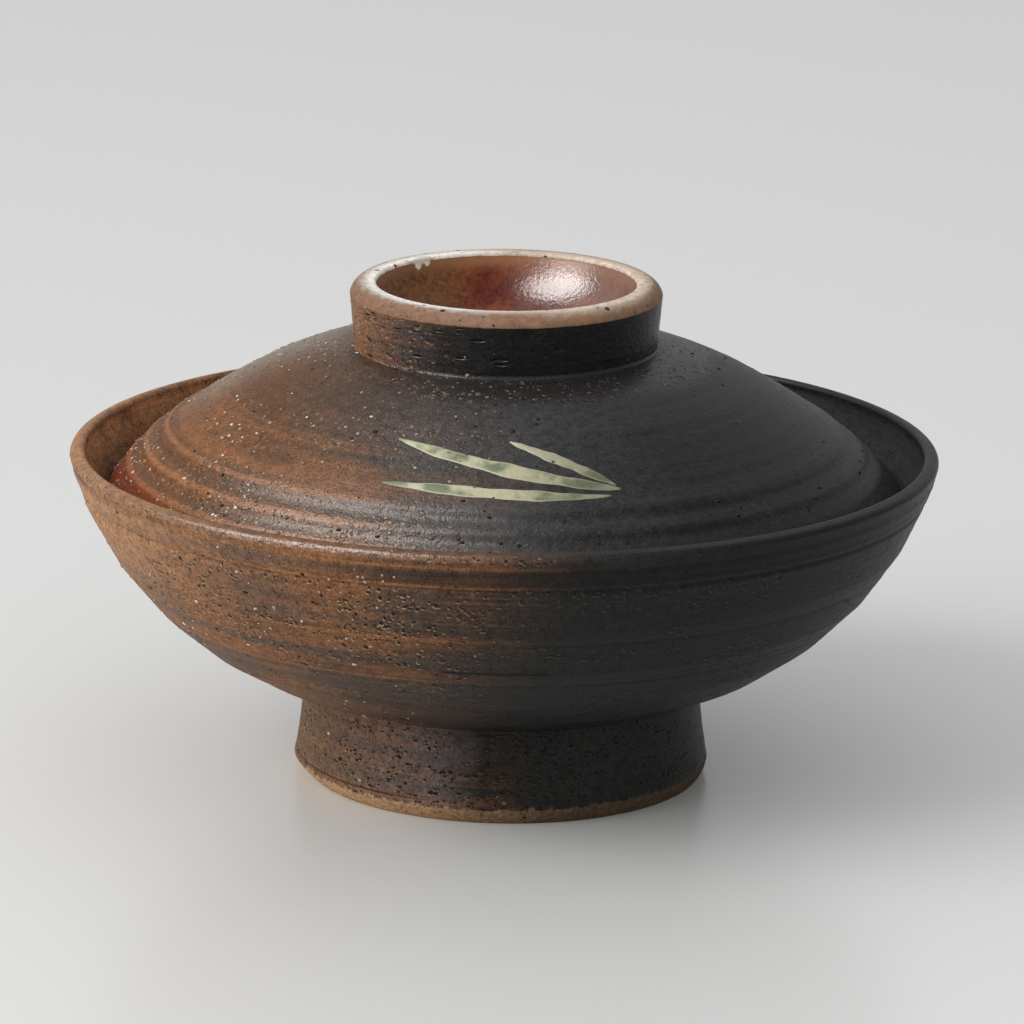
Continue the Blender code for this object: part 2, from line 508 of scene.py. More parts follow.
def firedClay(add, place, axes, wheel, look):
    # fire-flash across the piece, orange-brown at the left to charcoal at the right
    x, _, z = axes
    drift = noise(add, place, look["driftScale"], 3.0, 0.6)
    across = x + (drift - 0.5) * look["drift"] - (z - look["riseFrom"]) * look["rise"]
    lean = (across - look["flashFrom"]) / (look["flashTo"] - look["flashFrom"])
    colour = add("ShaderNodeValToRGB", {"stops": look["stops"]}, {"Fac": lean})
    warm = 1.0 - step(add, lean, *look["cooling"])
    patch = noise(add, place, look["patchScale"], 4.0)
    streak = noise(add, stretched(add, wheel, *look["streaks"]), 1.0, 3.0, 0.6)
    broad = noise(add, stretched(add, wheel, *look["bands"]), 1.0, 2.0, 0.5)
    sand = noise(add, place, look["sandScale"], 2.0, 0.6) - 0.5
    blotch = noise(add, place, look["blotchScale"], 3.0, 0.65) - 0.5
    hot = warm * step(add, patch * 0.40 + streak * 0.25 + broad * 0.35, *look["hotFrom"])
    colour = mixColour(add, hot * look["hot"], colour, look["orange"])
    smoked = warm * (1.0 - step(add, patch * 0.35 + broad * 0.65, *look["smokeFrom"]))
    colour = mixColour(add, smoked * look["smoke"], colour, look["smokeTone"])
    colour = shade(add, colour, grainy(0.82 + streak * 0.40, sand, blotch))
    height = streak * 0.06 + (sand * 0.22 + blotch * 0.36) * (warm * 0.75 + 0.25)  # millimetres
    return colour, height, warm, patch, streak, sand, blotch


glazeLook = {
    "poolScale": 70.0,
    "pools": (0.35, 0.65),
    "deep": (0.105, 0.015, 0.005),
    "amber": (0.235, 0.060, 0.016),
    "olive": (0.170, 0.068, 0.024),
    "oliveLeft": (0.003, 0.014),
    "speckScale": 900.0,
    "specks": 2.6,
    "peelScale": 1300.0,
    "peel": 0.10,                # millimetres
}


def glazeTones(add, place, x):
    # red-amber glaze that runs olive-brown on the fire side
    pool = noise(add, place, glazeLook["poolScale"], 3.0)
    speck = noise(add, place, glazeLook["speckScale"], 3.0, 0.7) - 0.5
    tone = mixColour(add, step(add, pool, *glazeLook["pools"]), glazeLook["deep"], glazeLook["amber"])
    olive = step(add, -x + (pool - 0.5) * 0.012, *glazeLook["oliveLeft"])
    tone = mixColour(add, olive, tone, glazeLook["olive"])
    peel = noise(add, place, glazeLook["peelScale"], 2.0, 0.6) - 0.5
    return shade(add, tone, 1.0 + speck * glazeLook["specks"]), peel * glazeLook["peel"]


gloss = {
    "claySheen": 0.13,
    "glassIndex": 1.62,
    "polish": 0.16,
}


def closeMaterial(add, material, colour, roughness, height, glassy=None, polish=gloss["polish"]):
    # height is in millimetres; glassy is the share of glassy skin over the clay
    normal = add("ShaderNodeBump", None, {"Strength": 1.0, "Distance": mm, "Height": height})
    surface = add("ShaderNodeBsdfPrincipled", None, {
        "Base Color": colour, "Roughness": roughness, "Normal": normal,
        "Specular IOR Level": gloss["claySheen"]})
    if glassy is not None:
        glass = add("ShaderNodeBsdfPrincipled", None, {
            "Base Color": colour, "Roughness": polish, "Normal": normal, "IOR": gloss["glassIndex"]})
        surface = add("ShaderNodeMixShader", None, {0: glassy, 1: surface, 2: glass})
    add("ShaderNodeOutputMaterial", None, {"Surface": surface})
    return material


# Each piece's dictionary has its shape in millimetres, then its finish with places in metres.
# In a finish a pair is where a mark starts and where it is full, or a line's half width and
# softness, and three numbers are the middle, half width and softness of a band. A pair whose
# name ends in Left, Right, Front or Back counts from the axis to that side.

# The bowl

bowlPlan = {
    "rimRadius": 83.94,
    "rimHeight": 64.9,
    "lipThickness": 2.9,
    "lipInner": 0.9,             # rounding of the lip inside and outside
    "lipOuter": 1.2,
    "lipSlant": math.radians(15.0),  # the lip's flat falls outwards
    "wallBelly": 8.37,
    "insideBelly": 7.5,
    "floorRadius": 35.0,
    "floorHeight": 24.8,
    "floorDish": 1.2,
    "baseRadius": 39.1,
    "baseHeight": 18.6,
    "skirtRound": 0.7,           # rolled edge where the wall ends above the foot
    "glazeLine": 50.5,           # the inside is glazed below this height
    "glazeFade": 1.5,
    "spiralTop": (61.0, 57.0),   # heights where the scallops start and are full
    "spiralFoot": (20.0, 23.0),
    "ringsTop": (63.0, 59.0),
    "grainsTop": (62.4, 61.4),
    "grooves": (                 # height on the outside, depth, half width
        (57.4, 0.50, 0.40),
        (45.6, 0.14, 0.50),
        (35.9, 0.12, 0.50),
        (60.7, -0.12, 0.80),
    ),
    "flash": {"rise": 0.55},
    "fingerTone": (0.330, 0.135, 0.050),
    "fingerLine": (0.00012, 0.00045),
    "fingerLines": (             # height and strength of each thin orange line
        (0.0621, 0.50),
        (0.0581, 0.80),
        (0.0464, 0.45),
        (0.0366, 0.35),
        (0.0215, 0.35),
    ),
    "lipTone": (0.160, 0.074, 0.035),
    "lipHeight": (0.0634, 0.0640),
    "lipRadius": (0.0795, 0.0805),
    "lipFlash": (-0.022, 0.016),
    "lipRound": (0.0639, 0.0004, 0.0004),
    "lipRoundRadius": (0.0818, 0.0824),
    "farLeft": (0.050, 0.072),
    "underTone": (0.270, 0.118, 0.044),
    "underLip": (0.0627, 0.0009, 0.0008),
    "underRadius": (0.0805, 0.0815),
    "pitDrifts": (0.40, 0.58),
    "pitRow": (0.0636, 0.0006, 0.0005),
    "pitRowRadius": (0.0825, 0.0832),
    "pitRowEnd": (0.006, 0.016),
    "pitRowThick": (-0.001, 0.010, 0.006),
    "clearBelt": (0.0600, 0.0014, 0.0008),
    "beltShade": (-0.050, -0.012),
    "lowWall": (-0.036, -0.026),  # downwards
    "leftPits": (-0.062, -0.040),
    "scratch": (0.0390, 0.00020, 0.00014),
    "scratchReach": (-0.0010, 0.0095, 0.0015),
    "scratchFront": (0.0, 0.01),
    "scratchBreaks": (0.22, 0.34),
    "smudgeTone": (0.040, 0.030, 0.026),
    "smudges": (0.48, 0.66),
    "smudgeEnd": (0.010, 0.035),
    "insideHeight": (0.056, 0.064),
    "insideSheenRight": (0.030, 0.060),
    "charcoal": (0.020, 0.060),
    "baseTones": ((0.25, 0.12, 0.06), (0.33, 0.19, 0.10)),
}


def bowlSkin(plan):
    material, add = newMaterial("bowl_fired_clay")
    place, axes, radius, wheel = clayBasis(add)
    x, y, z = axes
    look = dict(flashLook, **plan["flash"])
    colour, height, warm, patch, streak, sand, blotch = firedClay(add, place, axes, wheel, look)
    wander = patch - 0.5
    grain = grainy(1.0, sand, blotch)
    # thin orange lines where a finger left the wall
    for lineHeight, strength in plan["fingerLines"]:
        line = band(add, z + wander * 0.0008, lineHeight, *plan["fingerLine"])
        colour = mixColour(add, line * warm * strength, colour, shade(add, plan["fingerTone"], grain))

    # the lip is glossier, and the flash runs further round on it
    lip = step(add, z, *plan["lipHeight"]) * step(add, radius, *plan["lipRadius"])
    reach = 1.0 - step(add, x + wander * 0.03, *plan["lipFlash"])
    farLeft = step(add, -x, *plan["farLeft"])
    colour = mixColour(add, lip * reach * (0.6 - farLeft * 0.4), colour, shade(add, plan["lipTone"], grain))
    under = band(add, z + wander * 0.0008, *plan["underLip"]) * step(add, radius, *plan["underRadius"])
    colour = mixColour(add, under * reach * 0.45, colour, shade(add, plan["underTone"], grain))

    # pits follow the throwing lines: a row under the lip, then a clear belt
    # there are fewer low down and at the far left
    outside = step(add, zone(add, "grain"), 0.35, 0.60)
    drifts = step(add, noise(add, stretched(add, place, 1.0, 1.0, 2.5), 48.0, 2.0), *plan["pitDrifts"])
    row = band(add, z, *plan["pitRow"]) * step(add, radius, *plan["pitRowRadius"])
    row = row * (1.0 - step(add, x, *plan["pitRowEnd"])) * (0.45 + band(add, x, *plan["pitRowThick"]) * 0.5)
    belt = 1.0 - band(add, z + wander * 0.001, *plan["clearBelt"]) * 0.85
    low = 1.0 - step(add, -z, *plan["lowWall"]) * 0.6
    left = 0.75 + step(add, x, *plan["leftPits"]) * 0.25
    ground = outside * drifts * (warm * 0.45 + 0.55) * belt * low * left
    colour = shade(add, colour, 1.0 - (1.0 - belt) * outside * step(add, x, *plan["beltShade"]) * 0.45)
    holes, crumbs = openPits(add, place, 1.15, ground.math("MAXIMUM", ground, row))
    colour = pitted(add, colour, holes, crumbs, warm)

    # one scratch across the front, a groove with painted shade in it
    scratch = band(add, z + wander * 0.0006, *plan["scratch"]) * step(add, -y, *plan["scratchFront"])
    scratch = scratch * band(add, x, *plan["scratchReach"])
    scratch = scratch * step(add, streak + blotch, *plan["scratchBreaks"])
    colour = mixColour(add, scratch * 0.92, colour, clayTones["pitShade"])

    # smoke marks on the bare inside, darker below the lip and lighter at the right with painted sheen, then
    # the glaze
    inner = 1.0 - step(add, zone(add, "grain"), 0.05, 0.25)
    smudge = step(add, noise(add, place, 55.0, 3.0), *plan["smudges"]) * inner
    smudge = smudge * (1.0 - step(add, x, *plan["smudgeEnd"]))
    colour = mixColour(add, smudge * 0.6, colour, plan["smudgeTone"])
    deep = inner * (1.0 - step(add, z, *plan["insideHeight"]))
    # darker below the lip at the left, a painted sheen lifts it at the right
    colour = shade(add, colour, 1.0 - deep * (0.50 - step(add, x, *plan["insideSheenRight"]) * 2.8))
    glaze = step(add, zone(add, "glaze") + wander * 0.5, 0.42, 0.58)
    glazed, peel = glazeTones(add, place, x)
    colour = mixColour(add, glaze, colour, glazed)
    base = shade(add, mixColour(add, patch, *plan["baseTones"]), 1.0 + blotch * 1.4)
    colour = mixColour(add, zone(add, "bare"), colour, base)

    roughness = 0.42 + blotch * 0.3 + warm * 0.10 + holes * 0.3 + step(add, x, *plan["charcoal"]) * 0.02
    height = height * (1.0 - lip * 0.4) - holes * 0.30 + crumbs * 0.12 - scratch * 0.25
    height = height * (1.0 - glaze) + glaze * peel
    rounding = band(add, z, *plan["lipRound"]) * step(add, radius, *plan["lipRoundRadius"])
    shine = rounding * (0.10 + reach * 0.46 - farLeft * 0.4) + crumbs * warm * 0.5
    glassy = glaze.math("MAXIMUM", glaze * 0.8, shine)
    return closeMaterial(add, material, colour, roughness, height, glassy)


def bowlProfile(shape):
    lip = shape["lipThickness"] / 2.0
    lipCentre = (shape["rimRadius"] - lip, shape["rimHeight"] - lip)
    floorEdge = (shape["floorRadius"], shape["floorHeight"])
    floorMiddle = (0.0, shape["floorHeight"] - shape["floorDish"])
    inside = (lipCentre[0] - lip, lipCentre[1])
    # the lip's flat is tangent to both of its roundings
    top = shape["rimHeight"]
    inner, outer = shape["lipInner"], shape["lipOuter"]
    way = (math.sin(shape["lipSlant"]), math.cos(shape["lipSlant"]))
    innerCentre = (inside[0] + inner, top - inner)
    outerRadius = shape["rimRadius"] - outer
    level = innerCentre[0] * way[0] + innerCentre[1] * way[1] + inner - outer
    outerCentre = (outerRadius, (level - outerRadius * way[0]) / way[1])
    outside = (shape["rimRadius"], outerCentre[1])
    skirt = shape["skirtRound"]
    foot = (shape["baseRadius"], shape["baseHeight"])

    def glazed(radius, height):
        return fade(height, shape["glazeLine"] + shape["glazeFade"], shape["glazeLine"] - shape["glazeFade"])

    wallCentre, _ = arcCircle(outside, foot, shape["wallBelly"])
    wall = []
    for radius, height in arcPoints(outside, foot, shape["wallBelly"], 200):
        cut = sum(depth * hump(height - level, width) for level, depth, width in shape["grooves"])
        reach = math.dist((radius, height), wallCentre)
        scale = (reach - cut) / reach
        if height > shape["baseHeight"] + skirt * 0.5:
            wall.append((wallCentre[0] + (radius - wallCentre[0]) * scale,
                         wallCentre[1] + (height - wallCentre[1]) * scale))

    def spiral(radius, height):
        return fade(height, *shape["spiralTop"]) * fade(height, *shape["spiralFoot"])

    def settled(radius, height):
        return max(0.3, fade(height, *shape["ringsTop"]))

    def burst(radius, height):
        return fade(height, *shape["grainsTop"])

    profile = Profile()
    profile.add(arcPoints(floorMiddle, floorEdge, -shape["floorDish"] / 4.0, 20), glaze=1.0, ring=0.8)
    profile.add(arcPoints(floorEdge, inside, -shape["insideBelly"], 84), glaze=glazed, ring=0.5)
    lean = math.pi / 2.0 - shape["lipSlant"]
    lipPoints = roundPoints(innerCentre, inner, math.pi, lean, 9)
    lipPoints += roundPoints(outerCentre, outer, lean, 0.0, 12)
    profile.add(lipPoints, grain=0.3, ring=0.3)
    profile.add(wall, ring=settled, grain=burst, spiral=spiral)
    under = (shape["baseRadius"] - skirt, shape["baseHeight"] - 0.02)
    profile.add(arcPoints(wall[-1], under, skirt * 0.3, 8), grain=0.5)
    profile.add(linePoints(under, (0.0, shape["baseHeight"]), 24), bare=1.0, ring=0.4)
    return profile


bowl = turned("bowl_body_clay", bowlProfile(bowlPlan), bowlSkin(bowlPlan), {
    "Ring depth": 0.00011,
    "Rings per metre": 620.0,
    "Spiral depth": 0.00012,
    "Spiral pitch": 0.0118,
    "Seed": 3.7,
})


# The foot ring

footPlan = {
    "height": 18.55,
    "topRadius": 38.7,
    "waist": 0.35,               # how far the outside curves in between its ends
    "flareRadius": 40.4,
    "flareHeight": 3.2,
    "restRadius": 38.0,
    "restWidth": 4.0,
    "restShift": 1.0,            # the bevel was trimmed a little off centre
    "bevelBelly": 0.25,
    "innerBevel": 1.0,
    "wallAtTop": 6.6,
    "scoreHeight": 4.3,          # thin line scored above the bare edge
    "scoreDepth": 0.22,
    "scoreWidth": 0.28,
    "flash": {
        "flashFrom": -0.044,
        "flashTo": 0.018,
        "drift": 0.014,
        "hot": 0.35,
        "smoke": 0.25,
        "stops": ((0.00, (0.190, 0.097, 0.044)), (0.14, (0.160, 0.088, 0.048)), (0.30, (0.120, 0.080, 0.060)),
                  (0.48, (0.096, 0.073, 0.070)), (0.65, (0.013, 0.012, 0.0115)),
                  (1.00, (0.0200, 0.0200, 0.0185))),
    },
    "pitDrifts": (0.30, 0.50),
    "scoreShadeTone": (0.030, 0.018, 0.012),
    "scoreLine": (0.0043, 0.0001, 0.0002),
    "scoreEnd": (-0.022, -0.008),
    "bareEdge": (0.40, 0.60),
    "bareTones": ((0.500, 0.290, 0.145), (0.640, 0.410, 0.225)),
    "shadedBareTone": (0.062, 0.040, 0.025),
    "shadedBareRight": (-0.034, 0.018),
}


def footSkin(plan):
    material, add = newMaterial("foot_fired_clay")
    place, axes, _, wheel = clayBasis(add)
    x, _, z = axes
    look = dict(flashLook, **plan["flash"])
    colour, height, warm, patch, _, _, blotch = firedClay(add, place, axes, wheel, look)
    drifts = step(add, noise(add, stretched(add, place, 1.0, 1.0, 2.2), 75.0, 2.0), *plan["pitDrifts"])
    holes, crumbs = openPits(add, place, 1.6, drifts * (0.60 + warm * 0.40))
    colour = pitted(add, colour, holes, crumbs * 0.35, warm)
    # painted shade in the scored groove at the left
    score = band(add, z + (patch - 0.5) * 0.0008, *plan["scoreLine"])
    score = score * (1.0 - step(add, x, *plan["scoreEnd"]))
    colour = mixColour(add, score * 0.8, colour, plan["scoreShadeTone"])
    # bare lower edge: coarse and tan, with painted shade at the right
    bare = step(add, zone(add, "bare") + blotch * 0.9, *plan["bareEdge"])
    crumb = noise(add, place, 1300.0, 3.0, 0.75) - 0.5
    tan = mixColour(add, patch, *plan["bareTones"])
    tan = mixColour(add, step(add, x, *plan["shadedBareRight"]) * 0.92, tan, plan["shadedBareTone"])
    colour = mixColour(add, bare, colour, shade(add, tan, 0.95 + crumb * 2.8))
    roughness = 0.42 + blotch * 0.3 + warm * 0.06 + bare * 0.25 + holes * 0.3
    height = height - holes * 0.30 + crumbs * 0.12 + bare * crumb * 0.35
    return closeMaterial(add, material, colour, roughness, height)


def footProfile(shape):
    flare = (shape["flareRadius"], shape["flareHeight"])
    rest = (shape["restRadius"], 0.0)
    restInner = shape["restRadius"] - shape["restWidth"]
    innerFoot = (restInner - shape["innerBevel"], shape["innerBevel"])
    innerTop = (shape["topRadius"] - shape["wallAtTop"], shape["height"])
    wall = []
    for radius, height in arcPoints((shape["topRadius"], shape["height"]), flare, -shape["waist"], 76):
        score = shape["scoreDepth"] * hump(height - shape["scoreHeight"], shape["scoreWidth"])
        wall.append((radius - score, height))

    def shifted(radius, height):
        return 1.0 - height / shape["flareHeight"]

    profile = Profile()
    profile.add(wall, ring=1.0, grain=0.8, bare=lambda radius, height: 0.5 * hump(height - 3.2, 0.9))
    profile.add(arcPoints(flare, rest, shape["bevelBelly"], 18), bare=1.0, lean=shifted,
                ring=lambda radius, height: height * 0.15,
                grain=lambda radius, height: 0.8 if height > 0.6 else 0.0)
    profile.add(linePoints(rest, (restInner, 0.0), 10), bare=1.0, lean=shifted)
    profile.add(linePoints((restInner, 0.0), innerFoot, 4), bare=1.0, ring=0.3, lean=shifted)
    profile.add(linePoints(innerFoot, innerTop, 40), bare=0.8, ring=1.0,
                lean=lambda radius, height: max(0.0, shifted(radius, height)))
    profile.add(linePoints(innerTop, (shape["topRadius"], shape["height"]), 6), bare=0.8)
    return profile


foot = turned("foot_ring_clay", footProfile(footPlan), footSkin(footPlan), {
    "Ring depth": 0.00009,
    "Rings per metre": 700.0,
    "Shift right": footPlan["restShift"] * mm,
    "Seed": 11.2,
})


# The lid

lidPlan = {
    "crownHeight": 84.64,
    "gripRadius": 28.5,
    "edgeCentre": (74.60, 56.25),
    "edgeRound": 2.0,
    "edgeLean": math.radians(-54.0),  # slope of the dome where it meets the edge
    "startHandle": (43.55, 84.64),
    "endHandle": 11.76,
    "underRadius": 25.0,
    "underDish": 0.8,
    "underBelly": 6.2,
    "crownThickness": 4.2,
    "terraces": (                # radius of each nosing, its height, run above it, fall below it
        (65.2, 0.64, 2.4, 1.0),
        (69.2, 0.68, 1.9, 0.95),
        (72.7, 0.50, 1.6, 0.85),
        (60.0, 0.12, 3.0, 1.6),
        (48.5, 0.10, 3.0, 1.8),
    ),
    "glazeLine": 62.0,           # the underside is glazed inside this radius
    "glazeFade": 1.5,
    "ringsEdge": (74.0, 70.0),   # radii where the throwing rings start and are full
    "leanInner": (29.0, 32.0),
    "leanOuter": (72.0, 58.0),
    "leanRight": -0.007,         # the dome was set down a little askew
    "softenRight": 0.60,         # share of the terraces that is lost at the right
    "flash": {
        "flashFrom": -0.077,
        "flashTo": 0.030,
        "smoke": 0.10,
        "stops": ((0.00, (0.174, 0.054, 0.009)), (0.30, (0.102, 0.037, 0.009)), (0.46, (0.064, 0.035, 0.020)),
                  (0.60, (0.054, 0.042, 0.038)), (0.76, (0.040, 0.0390, 0.0385)),
                  (1.00, (0.0168, 0.0166, 0.0160))),
    },
    "nearEdge": (0.044, 0.060),
    # painted light on the nosings at the lit left and painted shade in the hollows below them
    "litTerraces": 3,
    "litTone": (0.330, 0.132, 0.046),
    "litCrestLine": (0.00020, 0.00055),
    "litLeftStart": (0.012, 0.036),
    "shadedHollowTone": (0.070, 0.042, 0.022),
    "shadedHollowLine": (0.0004, 0.0011),
    "shadedHollowBelow": 0.0018,       # from a nosing out to its hollow
    "collarTone": (0.020, 0.017, 0.016),
    "collar": (0.0350, 0.0030, 0.0035),
    "collarFrom": (-0.030, -0.004),
    "paintedSheenTone": (0.350, 0.290, 0.215),
    "paintedSheenBack": (-0.016, 0.010),
    "paintedSheenLeft": (0.014, 0.034),
    "paintedSheenEnd": (0.056, 0.066),
    "brickTone": (0.255, 0.042, 0.011),
    "brickRadius": (0.0712, 0.0745),
    "brickLeft": (0.058, 0.071),
    "brickBack": (0.005, 0.045),
    "pitDrifts": (0.44, 0.62),
    "lowPits": (0.0610, 0.0670),
    "charcoal": (0.005, 0.045),
    "lowAsh": (0.060, 0.068),
    "lowAshReach": (-0.024, 0.018, 0.020),
    "highAsh": (0.046, 0.006, 0.012),
    "highAshLeft": (0.018, 0.040),
    "highAshBack": (-0.010, 0.014),
    "polish": 0.33,
}


def lidSkin(plan):
    material, add = newMaterial("lid_fired_clay")
    place, axes, radius, wheel = clayBasis(add)
    x, y, _ = axes
    nearEdge = step(add, radius, *plan["nearEdge"])
    look = dict(flashLook, hot=nearEdge * 0.30 + 0.06, **plan["flash"])
    colour, height, warm, patch, _, sand, blotch = firedClay(add, place, axes, wheel, look)
    wander = patch - 0.5
    grain = grainy(1.0, sand, blotch)
    # painted light: orange on the nosings at the lit left; painted shade: olive on the hollows below them
    for nosing, _, _, _ in plan["terraces"][:plan["litTerraces"]]:
        litLeft = band(add, radius + wander * 0.0010, nosing * mm, *plan["litCrestLine"])
        litLeft = litLeft * step(add, -x, *plan["litLeftStart"])
        colour = mixColour(add, litLeft * 0.75, colour, shade(add, plan["litTone"], grain))
        shadedHollow = band(add, radius, nosing * mm + plan["shadedHollowBelow"], *plan["shadedHollowLine"]) * warm
        colour = mixColour(add, shadedHollow * 0.30, colour, shade(add, plan["shadedHollowTone"], grain))

    # rough dark band below the grip, a painted pale sheen at the back left, brick red near the edge at the
    # far left
    collar = band(add, radius + wander * 0.004, *plan["collar"]) * step(add, x, *plan["collarFrom"])
    colour = mixColour(add, collar * 0.85, colour, plan["collarTone"])
    paintedSheen = step(add, y, *plan["paintedSheenBack"]) * step(add, -x, *plan["paintedSheenLeft"])
    paintedSheen = paintedSheen * (1.0 - step(add, radius, *plan["paintedSheenEnd"]))
    colour = mixColour(add, paintedSheen * 0.36, colour, shade(add, plan["paintedSheenTone"], grain))
    brick = step(add, radius, *plan["brickRadius"]) * step(add, -x + wander * 0.012, *plan["brickLeft"])
    brick = brick * (1.0 - step(add, y, *plan["brickBack"]) * 0.8)
    colour = mixColour(add, brick * 0.90, colour, plan["brickTone"])

    drifts = step(add, noise(add, place, 50.0, 2.0), *plan["pitDrifts"]) * (warm * 0.3 + 0.2)
    low = step(add, radius, *plan["lowPits"]) * 0.5
    outside = step(add, zone(add, "grain"), 0.35, 0.60)
    holes, crumbs = openPits(add, place, 1.0, (drifts * (0.6 + low * 0.4) + collar * 0.7) * outside)
    colour = pitted(add, colour, holes, crumbs, warm)
    glaze = step(add, zone(add, "glaze") + wander * 0.5, 0.42, 0.58)
    glazed, peel = glazeTones(add, place, x)
    colour = mixColour(add, glaze, colour, glazed)
    roughness = 0.37 + blotch * 0.3 + warm * 0.06 + holes * 0.3 - collar * 0.06
    roughness = roughness + step(add, x, *plan["charcoal"]) * 0.06

    # a thin ash skin shines on the terraces and below the grip at the left
    lowAsh = step(add, radius, *plan["lowAsh"]) * band(add, x, *plan["lowAshReach"])
    highAsh = band(add, radius, *plan["highAsh"]) * step(add, -x, *plan["highAshLeft"])
    highAsh = highAsh * step(add, y, *plan["highAshBack"])
    ash = lowAsh * 0.40 + highAsh * 0.55
    height = height * (1.0 - collar * 0.5) * (1.0 - ash) - holes * 0.30 + crumbs * 0.15
    height = height * (1.0 - glaze) + glaze * peel
    glassy = glaze.math("MAXIMUM", glaze * 0.8, ash + collar * 0.12 + crumbs * 0.5)
    return closeMaterial(add, material, colour, roughness, height, glassy, plan["polish"])


def lidDome(shape, stepped=True):
    lean = shape["edgeLean"]
    edge = shape["edgeCentre"]
    end = (edge[0] - shape["edgeRound"] * math.sin(lean), edge[1] + shape["edgeRound"] * math.cos(lean))
    handle = (end[0] - shape["endHandle"] * math.cos(lean), end[1] - shape["endHandle"] * math.sin(lean))
    smooth = curvePoints((shape["gripRadius"], shape["crownHeight"]), shape["startHandle"], handle, end, 196)
    dome = []
    for index, (radius, height) in enumerate(smooth):
        normal = leftOf(smooth[max(0, index - 1)], smooth[min(len(smooth) - 1, index + 1)])
        lift = 0.0
        for nosing, rise, run, fall in shape["terraces"] if stepped else ():
            lift += rise * hump(radius - nosing, run if radius < nosing else fall)
        dome.append((radius + normal[0] * lift, height + normal[1] * lift))
    return dome


def lidLeaning(radius, height):
    return fade(radius, *lidPlan["leanInner"]) * fade(radius, *lidPlan["leanOuter"])


def lidProfile(shape):
    lean = shape["edgeLean"]
    edge = roundPoints(
        shape["edgeCentre"], shape["edgeRound"], lean + math.pi / 2.0, lean - math.pi / 2.0, 18)
    underHeight = shape["crownHeight"] - shape["crownThickness"]
    underEdge = (shape["underRadius"], underHeight - shape["underDish"])

    def glazed(radius, height):
        return fade(radius, shape["glazeLine"] + shape["glazeFade"], shape["glazeLine"] - shape["glazeFade"])

    def ringed(radius, height):
        return fade(radius, *shape["ringsEdge"])

    def burst(radius, height):
        return 0.8 + 0.4 * hump(radius - 35.0, 3.0) + 1.5 * hump(radius - 68.5, 4.5)

    dome = lidDome(shape)
    smooth = dict(zip(dome, lidDome(shape, stepped=False)))

    def stepOut(radius, height):
        return (radius - smooth[radius, height][0]) * mm

    def stepUp(radius, height):
        return (height - smooth[radius, height][1]) * mm

    profile = Profile()
    profile.add(linePoints((0.0, shape["crownHeight"]), (shape["gripRadius"], shape["crownHeight"]), 8))
    profile.add(dome, ring=ringed, grain=burst, lean=lidLeaning, stepOut=stepOut, stepUp=stepUp)
    profile.add(edge, grain=0.2)
    profile.add(arcPoints(edge[-1], underEdge, -shape["underBelly"], 70), glaze=glazed, ring=0.3)
    profile.add(arcPoints(underEdge, (0.0, underHeight), -shape["underDish"] / 4.0, 16), glaze=1.0, ring=0.5)
    return profile


lid = turned("lid_clay", lidProfile(lidPlan), lidSkin(lidPlan), {
    "Ring depth": 0.00008,
    "Rings per metre": 480.0,
    "Lean right": lidPlan["leanRight"],
    "Soften right": lidPlan["softenRight"],
    "Seed": 21.9,
})


# The ring grip on the lid

gripPlan = {
    "base": 84.75,
    "top": 97.28,
    "baseRadius": 29.25,
    "cornerRadius": 30.10,
    "cornerDrop": 2.3,
    "cornerBelly": 0.35,
    "flatRadius": 28.1,
    "mouthRadius": 25.1,
    "mouthRound": 0.60,
    "dishRadius": 13.0,
    "dishHeight": 86.9,
    "dishBelly": 2.3,
    "dishMiddle": 86.3,
    "luting": 0.35,              # thin roll of slip round the base
    "leanBack": 0.011,           # the top is a little lower at the front
    "leanFrom": 3.0,             # height above the base where the lean starts
    "glazeTop": (0.4, 1.0),      # below the top
    "flash": {
        "flashFrom": -0.032,
        "flashTo": -0.001,
        "drift": 0.008,
        "hot": 0.18,
        "smoke": 0.2,
        "stops": ((0.00, (0.270, 0.125, 0.055)), (0.18, (0.175, 0.090, 0.052)), (0.42, (0.060, 0.046, 0.044)),
                  (0.62, (0.019, 0.0185, 0.0180)), (1.00, (0.0095, 0.0095, 0.0092))),
    },
    "dashes": (240.0, 0.32, 0.44),  # cells per metre, share and reach, as for pits
    "dashFlat": 4.5,
    "dashGlint": 0.00022,
    "dashSide": (-0.006, 0.008),
    "bareRim": (0.35, 0.60),
    "litLeftStart": (-0.004, 0.016),
    "rimRight": (0.004, 0.014),
    "frontRight": (0.000, 0.012),
    "rimFront": (0.004, 0.016),
    "flatEdge": (0.0260, 0.0291),
    # the whiter tone at the lit left is a painted highlight on the pale bare clay
    "litTone": (0.950, 0.890, 0.825),
    "flatTone": (0.880, 0.745, 0.610),
    "cornerTone": (0.236, 0.128, 0.077),
    "chips": (520.0, 0.20, 0.40),
    "thinGlaze": (0.0034, 0.0006),  # below the top
    "thinTone": (0.360, 0.165, 0.075),
    "wellSheenRight": (0.008, 0.020),
    "wellSheenTone": (0.210, 0.140, 0.112),
    "seam": (0.0003, 0.0007),    # above the base
    "pooled": (-0.001, 0.006),
    "polish": 0.25,
}


